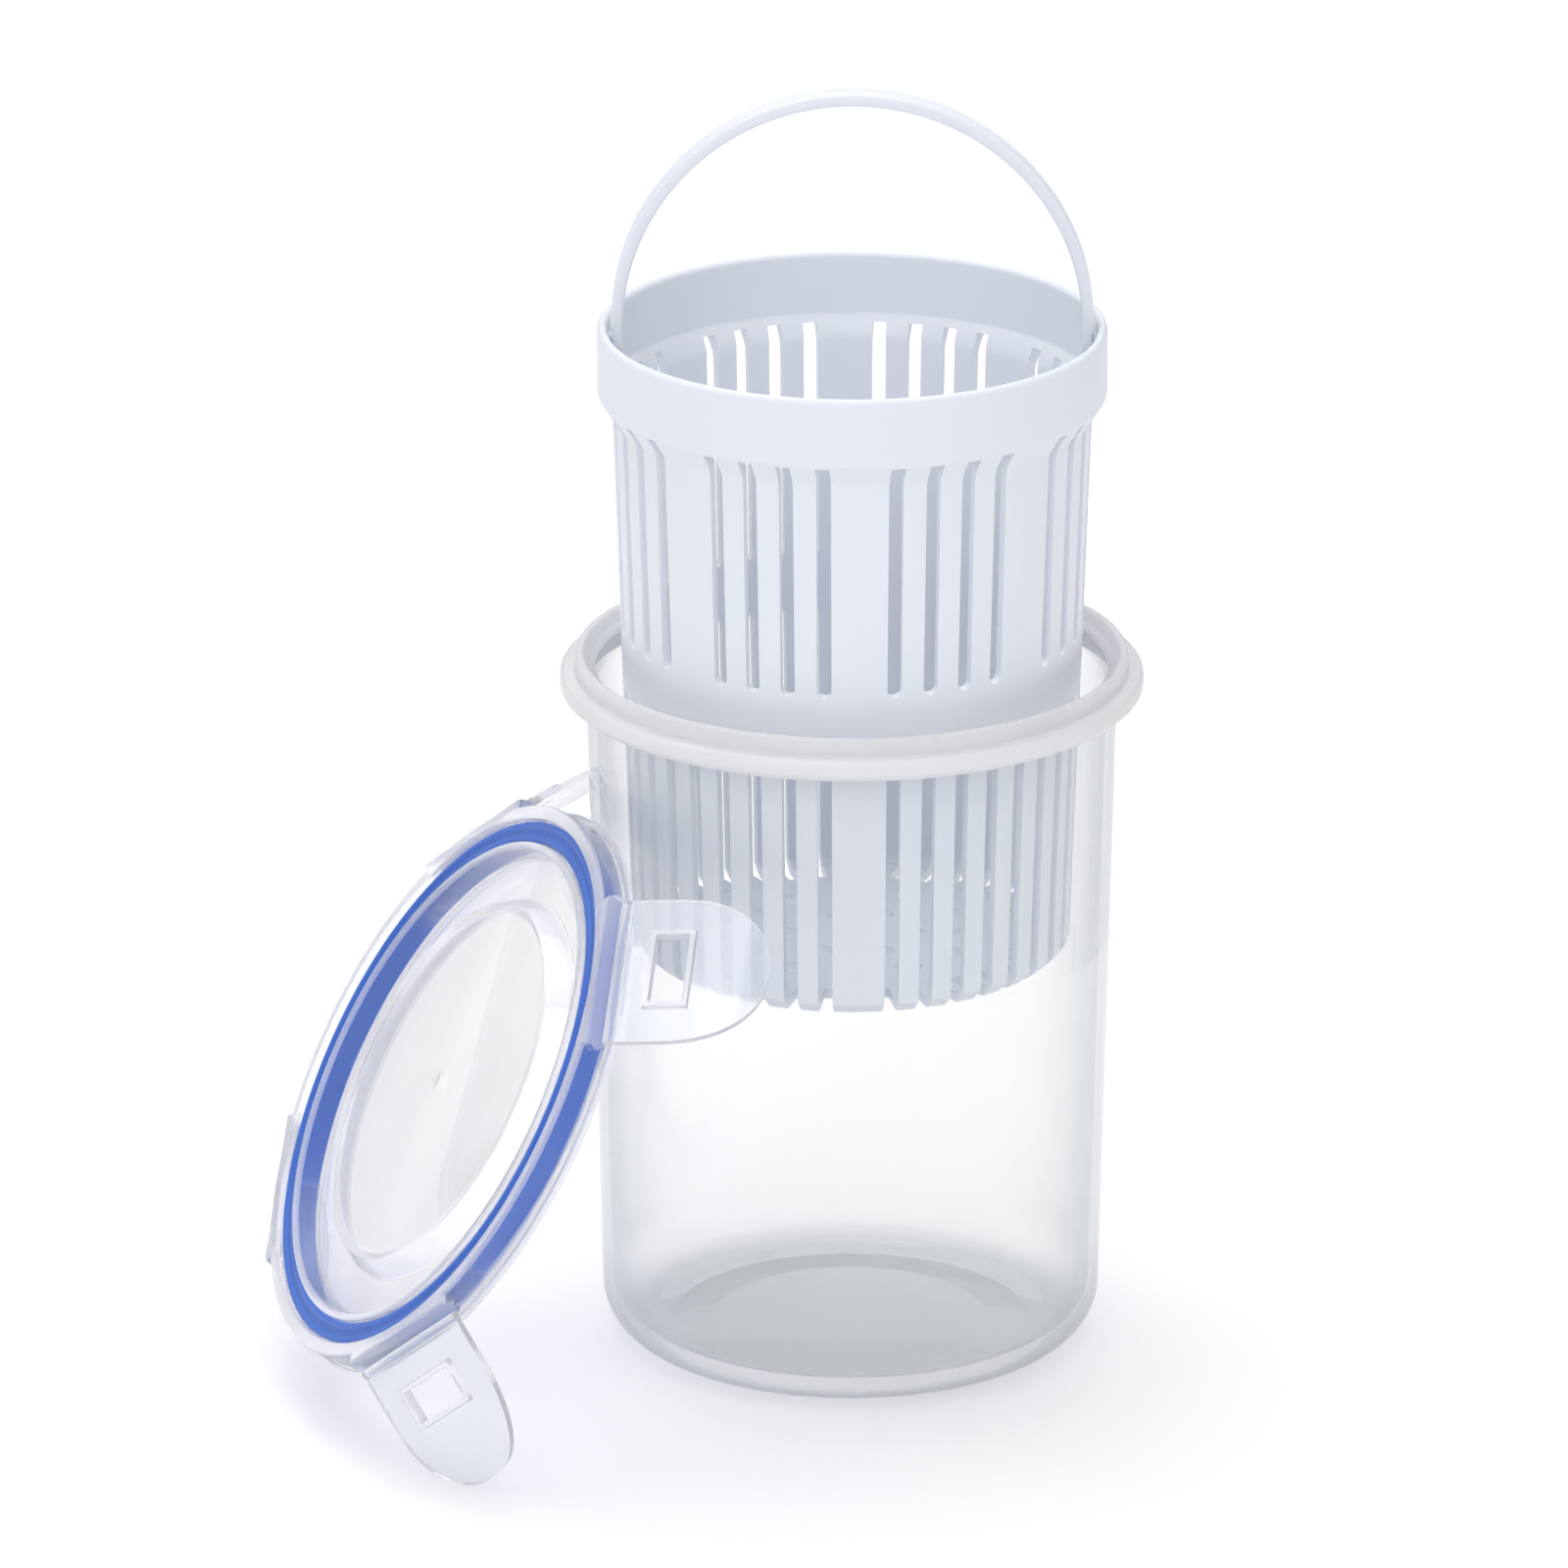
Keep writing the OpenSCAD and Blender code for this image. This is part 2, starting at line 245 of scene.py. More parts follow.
def grain(tree, principled, where, scale, strength, distance, low, high):
    """Fine moulded texture: a bump, and a roughness from low to high that varies with it."""
    noise = tree.nodes.new("ShaderNodeTexNoise")
    noise.inputs["Scale"].default_value = scale
    noise.inputs["Detail"].default_value = 4.0
    bump = tree.nodes.new("ShaderNodeBump")
    bump.inputs["Strength"].default_value = strength
    bump.inputs["Distance"].default_value = distance
    spread = tree.nodes.new("ShaderNodeMapRange")
    spread.inputs["To Min"].default_value = low
    spread.inputs["To Max"].default_value = high
    tree.links.new(where.outputs["Object"], noise.inputs["Vector"])
    tree.links.new(noise.outputs["Fac"], bump.inputs["Height"])
    tree.links.new(bump.outputs["Normal"], principled.inputs["Normal"])
    tree.links.new(noise.outputs["Fac"], spread.inputs["Value"])
    tree.links.new(spread.outputs["Result"], principled.inputs["Roughness"])


def clear_in_front(tree, principled, least, most, steepness):
    """A thin clear wall is almost unseen where it faces the eye and shows along its edges.

    Its opacity goes from least, face on, to most, edge on.
    """
    weight = tree.nodes.new("ShaderNodeLayerWeight")
    weight.inputs["Blend"].default_value = 0.5
    steep = tree.nodes.new("ShaderNodeMath")
    steep.operation = "POWER"
    steep.inputs[1].default_value = steepness
    spread = tree.nodes.new("ShaderNodeMapRange")
    spread.inputs["To Min"].default_value = least
    spread.inputs["To Max"].default_value = most
    tree.links.new(weight.outputs["Facing"], steep.inputs[0])
    tree.links.new(steep.outputs["Value"], spread.inputs["Value"])
    tree.links.new(spread.outputs["Result"], principled.inputs["Alpha"])


def pass_lamplight(tree, principled, tint):
    """Light from the studio goes through clear plastic or glass and takes its tint."""
    path = tree.nodes.new("ShaderNodeLightPath")
    through = tree.nodes.new("ShaderNodeBsdfTransparent")
    through.inputs["Color"].default_value = (*tint, 1)
    mix = tree.nodes.new("ShaderNodeMixShader")
    tree.links.new(path.outputs["Is Shadow Ray"], mix.inputs["Fac"])
    tree.links.new(principled.outputs["BSDF"], mix.inputs[1])
    tree.links.new(through.outputs["BSDF"], mix.inputs[2])
    tree.links.new(mix.outputs["Shader"], tree.nodes["Material Output"].inputs["Surface"])


def clear_jar():
    """Glass: almost unseen face on, with painted grey shade along its edges."""
    material, tree, p = shader("clear_jar", IOR=1.47, Transmission_Weight=0.7)
    # the grey base colour is painted shade: the alpha below shows it only along the edges, in place
    # of the darker surroundings that real glass edges refract
    where = mottle(tree, p, (0.32, 0.37, 0.41), (0.35, 0.40, 0.435), scale=12)
    grain(tree, p, where, scale=25, strength=0.02, distance=0.0004, low=0.0, high=0.015)
    clear_in_front(tree, p, least=0.03, most=1.0, steepness=3.1)
    pass_lamplight(tree, p, (0.93, 0.935, 0.94))
    return material


def milky():
    """The collar's cloudy plastic."""
    material, tree, p = shader("milky_plastic", IOR=1.40, Transmission_Weight=0.35,
                               Subsurface_Weight=0.7, Subsurface_Scale=0.008)
    p.inputs["Subsurface Radius"].default_value = (1.0, 1.0, 1.0)
    where = mottle(tree, p, (0.90, 0.915, 0.94), (0.925, 0.935, 0.96), scale=30)
    grain(tree, p, where, scale=260, strength=0.05, distance=0.0003, low=0.26, high=0.40)
    return material


def satin_white():
    """The basket's and the handle's plastic."""
    material, tree, p = shader("satin_white_plastic", IOR=1.46, Subsurface_Weight=0.25,
                               Subsurface_Scale=0.003)
    p.inputs["Subsurface Radius"].default_value = (1.0, 1.0, 1.05)
    where = mottle(tree, p, (0.73, 0.76, 0.825), (0.755, 0.775, 0.84), scale=18)
    grain(tree, p, where, scale=420, strength=0.06, distance=0.0002, low=0.32, high=0.46)
    return material


def lid_clear():
    """The lid cover's clear plastic."""
    material, tree, p = shader("lid_plastic", IOR=1.42, Transmission_Weight=0.97, Alpha=0.5,
                               Specular_IOR_Level=0.2)
    where = mottle(tree, p, (0.955, 0.95, 0.985), (0.975, 0.97, 0.995), scale=22)
    grain(tree, p, where, scale=60, strength=0.03, distance=0.0004, low=0.03, high=0.09)
    pass_lamplight(tree, p, (0.86, 0.86, 0.91))
    return material


def flap_clear():
    """The clear plastic of the lock flaps, a little greyer."""
    material, tree, p = shader("flap_plastic", IOR=1.46, Transmission_Weight=0.84)
    where = mottle(tree, p, (0.86, 0.875, 0.92), (0.875, 0.89, 0.93), scale=22)
    grain(tree, p, where, scale=40, strength=0.03, distance=0.0005, low=0.06, high=0.13)
    pass_lamplight(tree, p, (0.82, 0.82, 0.86))
    return material


def frost_and_edge_highlight():
    """The same plastic, frosted and whiter, on pads, rims and window frames. On the rims and edges
    the whiteness is a painted highlight of edges catching the light.
    """
    material, tree, p = shader("frost_and_edge_highlight_plastic", IOR=1.38, Transmission_Weight=0.7,
                               Subsurface_Weight=0.6, Subsurface_Scale=0.004)
    p.inputs["Subsurface Radius"].default_value = (1.0, 1.0, 1.0)
    where = mottle(tree, p, (0.945, 0.945, 0.985), (0.965, 0.96, 0.99), scale=30)
    grain(tree, p, where, scale=120, strength=0.02, distance=0.0002, low=0.18, high=0.26)
    pass_lamplight(tree, p, (0.9, 0.9, 0.95))
    return material


def blue_rubber():
    """The ring seal's soft blue."""
    material, tree, p = shader("blue_seal", IOR=1.40, Sheen_Weight=0.08, Coat_Weight=0.05,
                               Coat_Roughness=0.3, Subsurface_Weight=0.4, Subsurface_Scale=0.003)
    p.inputs["Subsurface Radius"].default_value = (0.25, 0.45, 1.0)
    where = mottle(tree, p, (0.036, 0.125, 0.49), (0.046, 0.15, 0.54), scale=40)
    grain(tree, p, where, scale=500, strength=0.08, distance=0.0002, low=0.36, high=0.5)
    return material


CLEAR_JAR, MILKY, SATIN, LID_CLEAR, FLAP_CLEAR, FROST_AND_EDGE_HIGHLIGHT, BLUE = (
    clear_jar(), milky(), satin_white(), lid_clear(), flap_clear(), frost_and_edge_highlight(), blue_rubber())


# ---- Making a piece ----

def piece(name, verts, faces, material, body, node, matrix=None, bevel=None,
          cutters=None, frost_and_highlight_faces=()):
    """A mesh object in metres that rides on a body and stands for a CAD node.

    bevel is (width in mm, segments, least angle). cutters are closed meshes to take away.
    The faces listed by index in the last argument get the frosted plastic, whose whiter rims are a
    painted edge highlight.
    """
    mesh = bpy.data.meshes.new(name)
    mesh.from_pydata(verts, [], faces)
    for f in frost_and_highlight_faces:
        mesh.polygons[f].material_index = 1
    mesh.transform(Matrix.Scale(MM, 4) @ (matrix or Matrix.Identity(4)))
    b = bmesh.new()
    b.from_mesh(mesh)
    bmesh.ops.remove_doubles(b, verts=b.verts, dist=1e-7)
    bmesh.ops.recalc_face_normals(b, faces=b.faces)
    b.to_mesh(mesh)
    b.free()
    mesh.shade_smooth()
    mesh.set_sharp_from_angle(angle=math.radians(CREASE_ANGLE))
    mesh.materials.append(material)
    if frost_and_highlight_faces:
        mesh.materials.append(FROST_AND_EDGE_HIGHLIGHT)
    obj = bpy.data.objects.new(name, mesh)
    bpy.context.scene.collection.objects.link(obj)
    if cutters:
        cut_away(obj, cutters)
    if bevel:
        width, segments, angle = bevel
        mod = obj.modifiers.new("edges", "BEVEL")
        mod.width = width * MM
        mod.segments = segments
        mod.limit_method = "ANGLE"
        mod.angle_limit = math.radians(angle)
        mod.use_clamp_overlap = True
        mod.harden_normals = False
        # bevelled edges get the whiter frosted plastic too, a painted highlight along lit edges
        mod.material = 1 if frost_and_highlight_faces else -1
        obj.modifiers.new("normals", "WEIGHTED_NORMAL").keep_sharp = True
    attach(obj, body)
    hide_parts(node)
    return obj


def cut_away(obj, cutters):
    """Subtracts closed meshes, given as (verts, faces), and applies the result."""
    mesh = bpy.data.meshes.new("cutters")
    verts, faces = [], []
    for v, f in cutters:
        faces += [[i + len(verts) for i in face] for face in f]
        verts += v
    mesh.from_pydata([tuple(c * MM for c in v) for v in verts], [], faces)
    b = bmesh.new()
    b.from_mesh(mesh)
    bmesh.ops.recalc_face_normals(b, faces=b.faces)
    b.to_mesh(mesh)
    b.free()
    tool = bpy.data.objects.new("cutters", mesh)
    bpy.context.scene.collection.objects.link(tool)
    mod = obj.modifiers.new("cut", "BOOLEAN")
    mod.operation = "DIFFERENCE"
    mod.solver = "EXACT"
    mod.object = tool
    graph = bpy.context.evaluated_depsgraph_get()
    cut = bpy.data.meshes.new_from_object(obj.evaluated_get(graph))
    obj.modifiers.remove(mod)
    old = obj.data
    cut.name = obj.name
    obj.data = cut
    bpy.data.meshes.remove(old)
    bpy.data.objects.remove(tool)
    bpy.data.meshes.remove(mesh)


def rod(start, end, r, sides=32):
    """A closed cylinder between two points."""
    a, b = Vector(start), Vector(end)
    q = (b - a).to_track_quat("Z", "Y")
    verts = []
    for p in (a, b):
        for t in even(sides):
            verts.append(tuple(p + q @ Vector((r * math.cos(t), r * math.sin(t), 0))))
    faces = [[i, (i + 1) % sides, sides + (i + 1) % sides, sides + i] for i in range(sides)]
    faces += [list(range(sides))[::-1], list(range(sides, 2 * sides))]
    return verts, faces


# ---- Jar ----

def jar():
    """A spun outline: slightly hollow base, tapered wall, rounded mouth."""
    bore = JAR_R - JAR_WALL
    foot_bore = JAR_FOOT_R - JAR_WALL
    taper_top = JAR_H - MOUTH_H
    loop = rounded([(0, 1.1, 0), (30, 0.95, 20), (37.5, 0.35, 3), (40.0, 0.05, 2),
                    (JAR_FOOT_R - 0.15, 0.05, JAR_CORNER - 0.6), (JAR_R, taper_top, 30),
                    (JAR_R, JAR_H, 1.05), (bore, JAR_H, 1.05), (bore, taper_top, 30),
                    (foot_bore, JAR_FLOOR, JAR_INNER_CORNER), (0, JAR_FLOOR, 0)],
                   steps=10, closed=False)
    verts, faces = spun(loop, even(SPIN_STEPS))
    return piece("clear_jar", verts, faces, CLEAR_JAR, "jar", "jar")


# ---- Collar ----

def collar():
    """The ring over the jar's mouth: an outer flange, a raised lip and a seat on the rim."""
    bore = JAR_R + 0.05
    foot = FLANGE_TOP - FLANGE_T
    seat = JAR_H + 0.06
    loop = rounded([(bore, foot - 0.8, 0.2), (FLANGE_R - 1.6, foot - 0.8, 0.5),
                    (FLANGE_R - 1.3, foot, 0.25), (FLANGE_R, foot, 1.15),
                    (FLANGE_R, FLANGE_TOP, 1.15), (LIP_R, FLANGE_TOP, 0.35),
                    (LIP_R, LIP_TOP, 0.7), (LIP_R - 1.6, LIP_TOP, 0.7),
                    (LIP_BORE, FLANGE_TOP + 1.4, 0.8), (SEAT_BORE, FLANGE_TOP + 0.75, 0.3),
                    (SEAT_BORE, seat, 0.1), (bore, seat, 0.05)], steps=5)
    verts, faces = spun(loop, even(SPIN_STEPS))
    return piece("collar_ring", verts, faces, MILKY, "jar", "collar")


# ---- Basket ----

# The section from the middle of the floor out and up to the rim, with heights above the foot:
# (distance along the section, outer r, outer z, inner r, inner z)
WALL = [
    (0, 0, 0, 0, BASKET_FLOOR), (36, 36, 0, 36, BASKET_FLOOR), (42.5, 42.5, 0, 42.2, BASKET_FLOOR),
    (43.8, 44.2, 0.05, 43.8, BASKET_FLOOR + 0.1), (44.8, 44.9, 0.35, 44.9, BASKET_FLOOR + 0.55),
    (46.4, 46.2, 1.55, 45.5, BASKET_FLOOR + 1.3), (47.8, 47.15, 2.55, 45.72, 4.2),
    (48.8, 47.58, 3.2, 45.75, 4.8), (51, 47.66, 5.4, 45.8, 6.2),
    (164, 51.5, 118.6, 49.6, 118.6), (167, 51.62, 121.0, 49.7, 121.4),
    (168.5, 51.95, 122.0, 49.75, 123.0), (171.2, 54.0, 125.2, 50.2, 125.0),
    (172.4, 54.72, 126.3, 52.0, 127.0), (173.4, BAND_R, 126.8, 52.5, 127.7),
    (186, BAND_R, 139.9, 52.5, 139.9), (186.6, 54.6, 140.5, 52.7, 140.5),
    (187.1, 54.2, 140.95, 53.1, 140.95), (187.3, 53.85, 141.1, 53.45, 141.1),
]


def section(s):
    """(outer r, outer z, inner r, inner z) at a distance along the section."""
    for (s0, *a), (s1, *b) in zip(WALL, WALL[1:]):
        if s <= s1:
            t = (s - s0) / (s1 - s0)
            return [x + (y - x) * t for x, y in zip(a, b)]
    return WALL[-1][1:]


def along(z):
    """The distance along the section where the outer wall has this height."""
    for (s0, _, z0, _, _), (s1, _, z1, _, _) in zip(WALL, WALL[1:]):
        if z <= z1:
            return s0 + (s1 - s0) * (z - z0) / (z1 - z0)
    return WALL[-1][0]


# The wall is a grid of cells. Rows follow the section, and columns go round: one column, five
# points wide, for each slot, with a few cells between columns. Slots are left out of it, and
# a fan of cells rounds each slot's end. A point is (key, angle, sideways offset, distance).
# Each slot has a lower part, from the floor up, and all but the rib's have an upper part.
HALF_SLOT = SLOT_W / 2
HALF_COLUMN = HALF_SLOT + SLOT_MARGIN
SLOTS = [(90 * q + SLOT_FIRST + SLOT_PITCH * k, k != RIB_SLOT)
         for q in range(4) for k in range(SLOTS_PER_QUARTER)]
LOWER_END = along(LOWER_SLOT_TOP) - HALF_SLOT
UPPER_START = along(UPPER_SLOT_FOOT) + HALF_SLOT
UPPER_END = along(UPPER_SLOT_TOP)
ROWS = [5, 12, 20, 30.5, FLOOR_SLOT_R, 40, 42.5, 43.8, 44.8, 46.4, 47.8, 48.8, 51, 58, 70, 82, 94]
ROWS += [LOWER_END, LOWER_END + HALF_COLUMN / 2, LOWER_END + HALF_COLUMN]
ROWS += [(LOWER_END + UPPER_START) / 2]
ROWS += [UPPER_START - HALF_COLUMN, UPPER_START - HALF_COLUMN / 2, UPPER_START]
ROWS += [132, 144, 156, 164, 167, 168.5, UPPER_END]
ROWS += [s for s, *_ in WALL if s > UPPER_END + 0.3]
FLOOR_ROW = ROWS.index(FLOOR_SLOT_R)
LOWER_ROW = ROWS.index(LOWER_END)
UPPER_ROW = ROWS.index(UPPER_START)
TOP_ROW = ROWS.index(UPPER_END)


def slot_point(n, r, c):
    """The point in row r of slot n's column, where c counts from 0 to 4 across it."""
    angle, has_upper = SLOTS[n]
    beside_slot = r <= LOWER_ROW or r >= TOP_ROW or (has_upper and r >= UPPER_ROW)
    inner = HALF_SLOT if beside_slot else HALF_COLUMN / 2
    x = (-HALF_COLUMN, -inner, 0, inner, HALF_COLUMN)[c]
    return ("slot", n, r, c), angle, x, ROWS[r]


def round_end(n, base, sign):
    """The fan of cells round the half-round end of slot n, which starts at row base."""
    angle = SLOTS[n][0]
    edge = [slot_point(n, base, 3)]
    for k in range(1, END_STEPS):
        t = math.pi * k / END_STEPS
        edge.append((("end", n, base, k), angle, HALF_SLOT * math.cos(t),
                     ROWS[base] + sign * HALF_SLOT * math.sin(t)))
    edge.append(slot_point(n, base, 1))
    middle, far = base + sign, base + 2 * sign
    box = [slot_point(n, base, 4), slot_point(n, middle, 4)]
    box += [slot_point(n, far, c) for c in (4, 3, 2, 1, 0)]
    box += [slot_point(n, middle, 0), slot_point(n, base, 0)]
    return [[edge[k], box[k], box[k + 1], edge[k + 1]] for k in range(END_STEPS)]


def slot_cells(n):
    """The cells of slot n's column that the slot leaves standing."""
    has_upper = SLOTS[n][1]
    cells = []
    for r in range(len(ROWS) - 1):
        in_slot = FLOOR_ROW <= r < LOWER_ROW or (has_upper and UPPER_ROW <= r < TOP_ROW)
        at_end = LOWER_ROW <= r < LOWER_ROW + 2 or (has_upper and UPPER_ROW - 2 <= r < UPPER_ROW)
        for c in range(4):
            if not (at_end or (in_slot and c in (1, 2))):
                cells.append([slot_point(n, r, c), slot_point(n, r, c + 1),
                              slot_point(n, r + 1, c + 1), slot_point(n, r + 1, c)])
    cells += round_end(n, LOWER_ROW, 1)
    if has_upper:
        cells += round_end(n, UPPER_ROW, -1)
    return cells


def gap_cells(n):
    """The cells between slot n's column and the next one."""
    angle = SLOTS[n][0]
    m = (n + 1) % len(SLOTS)
    following = SLOTS[m][0] + (360 if m == 0 else 0)
    parts = 3 if following - angle < 12 else 8

    def point(r, p):
        if p == 0:
            return slot_point(n, r, 4)
        if p == parts:
            return slot_point(m, r, 0)
        share = p / parts
        return (("gap", n, r, p), angle + (following - angle) * share,
                HALF_COLUMN * (1 - 2 * share), ROWS[r])

    return [[point(r, p), point(r, p + 1), point(r + 1, p + 1), point(r + 1, p)]
            for r in range(len(ROWS) - 1) for p in range(parts)]


def shell(cells):
    """The wall's vertices and faces: each cell outside and inside, and the slots' sides."""
    verts, faces, index, used = [], [], {}, {}

    def vertex(point, side):
        """The index of a point's outer (0) or inner (1) vertex, which is made once."""
        key, angle, x, s = point
        if (key, side) not in index:
            outer_r, outer_z, inner_r, inner_z = section(s)
            r, z = (outer_r, outer_z) if side == 0 else (inner_r, inner_z)
            a = math.radians(angle) + math.asin(x / max(r, FLOOR_SLOT_R))
            index[(key, side)] = len(verts)
            verts.append((r * math.cos(a), r * math.sin(a), z + BASKET_FOOT))
        return index[(key, side)]

    def in_first_row(key):
        return key[0] != "end" and key[2] == 0

    for points in cells:
        faces.append([vertex(p, 0) for p in points])
        faces.append([vertex(p, 1) for p in points][::-1])
        keys = [p[0] for p in points]
        for a, b in zip(keys, keys[1:] + keys[:1]):
            pair = (b, a) if (b, a) in used else (a, b)
            used[pair] = used.get(pair, 0) + 1
    for (a, b), times in used.items():
        if times == 1 and not (in_first_row(a) and in_first_row(b)):
            faces.append([index[(a, 0)], index[(a, 1)], index[(b, 1)], index[(b, 0)]])

    # the middle of the floor, inside the first row
    ring = sorted({key for pair in used for key in pair if in_first_row(key)},
                  key=lambda key: math.atan2(*[verts[index[(key, 0)]][i] for i in (1, 0)]))
    for side, z in ((0, 0), (1, BASKET_FLOOR)):
        verts.append((0, 0, BASKET_FOOT + z))
        loop = [index[(key, side)] for key in ring]
        for a, b in zip(loop, loop[1:] + loop[:1]):
            faces.append([a, b, len(verts) - 1])
    return verts, faces


def basket():
    """The slotted wall and floor, with drain holes and two holes for the handle's pins."""
    cells = []
    for n in range(len(SLOTS)):
        cells += slot_cells(n) + gap_cells(n)
    verts, faces = shell(cells)
    drains = [(0, 0)]
    for ring_r, number in DRAIN_RINGS:
        drains += [(ring_r * math.cos(t), ring_r * math.sin(t)) for t in even(number)]
    cutters = [rod((x, y, BASKET_FOOT - 2), (x, y, BASKET_FOOT + 5), DRAIN_R, sides=36)
               for x, y in drains]
    cutters += [rod((-60, 0, PIVOT_Z), (-50.5, 0, PIVOT_Z), PIN_HOLE),
                rod((50.5, 0, PIVOT_Z), (60, 0, PIVOT_Z), PIN_HOLE)]
    return piece("slotted_basket", verts, faces, SATIN, "basket", "basket",
                 bevel=(0.28, 2, 42), cutters=cutters)


# ---- Handle ----

HANDLE_INNER = HANDLE_R - HANDLE_T
HANDLE_HALF = HANDLE_W / 2


def strip(half, edge):
    """The handle's section (across, depth), with edges that stand up beside a channel."""
    k = half / HANDLE_HALF
    channel_r = HANDLE_R - HANDLE_CHANNEL
    edge_r = channel_r + edge
    return rounded([(-half, HANDLE_INNER, 0.5 * k), (half, HANDLE_INNER, 0.5 * k),
                    (half, edge_r, 0.35 * k), (half - 0.8 * k, edge_r, 0.2 * k),
                    (half - 1.05 * k, channel_r, 0.15 * k), (1.05 * k - half, channel_r, 0.15 * k),
                    (0.8 * k - half, edge_r, 0.2 * k), (-half, edge_r, 0.35 * k)], steps=3)


def leg_stations():
    """Up a leg from its round end, as (height above the pivot, half width, edge height)."""
    stations = [(-HANDLE_HALF * math.sin(math.radians(a)),
                 HANDLE_HALF * math.cos(math.radians(a)), 0.02) for a in (86, 75, 60, 45, 30, 15)]
    edges = [(0, 0.02), (1.6, 0.02), (2.6, 0.12), (3.4, 0.3)]
    return stations + [(height, HANDLE_HALF, edge) for height, edge in edges]


def pivot_pin(sign):
    """Vertices and faces of a pin with a rounded end, on the +X or the -X side."""
    out = BAND_R - 0.3
    profile = [(0, out), (PIN_R * 0.5, out - 0.06), (PIN_R * 0.82, out - 0.22),
               (PIN_R * 0.96, out - 0.45), (PIN_R, out - 0.8), (PIN_R, HANDLE_INNER + 0.6),
               (0, HANDLE_INNER + 0.6)]
    verts, faces = spun(profile, even(40))
    return [(sign * z, x, PIVOT_Z + y) for x, y, z in verts], faces


def handle():
    """A strip swept up one leg, over the arch and down the other, and two pivot pins."""
    rings = []
    for height, half, edge in leg_stations():
        rings.append([(r, y, PIVOT_Z + height) for y, r in strip(half, edge)])
    for i in range(ARCH_STEPS + 1):
        a = math.pi * i / ARCH_STEPS
        rings.append([(r * math.cos(a), y, RIM_TOP + r * math.sin(a))
                      for y, r in strip(HANDLE_HALF, HANDLE_CHANNEL)])
    for height, half, edge in reversed(leg_stations()):
        rings.append([(-r, y, PIVOT_Z + height) for y, r in strip(half, edge)])
    size = len(rings[0])
    verts = [p for ring in rings for p in ring]
    faces = []
    for k in range(len(rings) - 1):
        for i in range(size):
            j = (i + 1) % size
            faces.append([k * size + i, k * size + j, (k + 1) * size + j, (k + 1) * size + i])
    faces.append(list(range(size))[::-1])
    faces.append(list(range(len(verts) - size, len(verts))))
    for sign in (-1, 1):
        pin_verts, pin_faces = pivot_pin(sign)
        faces += [[i + len(verts) for i in face] for face in pin_faces]
        verts += pin_verts
    return piece("bail_handle", verts, faces, SATIN, "handle", "handle")


# ---- Lid ----

# A pad's half width, the angle that it takes up on either side of its middle, and where the
# skirt is round again
PAD_HALF = FLAP_W / 2 + 0.4
PAD_REACH = math.degrees(math.atan2(PAD_HALF, PAD_X))
PAD_FADE = PAD_REACH + 2.6


def lid_angles():
    """Angles round the lid in radians, close together at the sides of the pads."""
    turns = []
    for i in range(4):
        centre = FLAP_PHASE + 90 * i
        turns += [centre + PAD_REACH * k / 6 for k in range(-6, 7)]
        for outside in (PAD_REACH + 0.25, PAD_REACH + 1.2, PAD_FADE):
            turns += [centre - outside, centre + outside]
        gap = 90 - 2 * PAD_FADE
        turns += [centre + PAD_FADE + gap * k / 24 for k in range(1, 24)]
    return [math.radians(a) for a in sorted(turns)]


def press_pads(r, z, a):
    """Flattens the skirt and the flange at a pad, whose sides swell to a blunt point."""
    # all that lies inside the skirt stays round, and so does the outer face
    if r < 61.5 or (z > LID_TOP - 0.05 and r < 64):
        return r, a

    # near is the middle of the closest pad, and d is the angle from it, both in degrees
    near = min((FLAP_PHASE + 90 * i for i in range(4)),
               key=lambda c: abs((math.degrees(a) - c + 180) % 360 - 180))
    d = (math.degrees(a) - near + 180) % 360 - 180
    flat = PAD_X / math.cos(math.radians(d))
    if z > PAD_TOP:
        return min(r, flat), a

    # a pad is widest at PAD_MIDDLE, and the skirt beside it gives way by less and less
    point = PAD_POINT * (1 - min(1.0, abs(z - PAD_MIDDLE) / (PAD_TOP - PAD_MIDDLE)))
    widened = d * (1 + point / PAD_HALF) if abs(d) <= PAD_REACH + 0.3 else d
    if PAD_REACH + 0.3 < abs(d) < PAD_REACH + 2.5:
        widened = d + math.copysign(point * 0.85 * (PAD_FADE - abs(d)) / 2.3, d)

    # a pad's face is flat, and only its lower rim keeps the skirt's rounding
    if abs(d) <= PAD_REACH + 0.01:
        r_pad = PAD_X / math.cos(math.radians(widened))
        inset = max(0.0, SKIRT_R - r) if z < 0.2 else 0.0
        return min(max(r, r_pad - inset), r_pad), math.radians(near + widened)
    return min(r, flat), math.radians(near + widened)


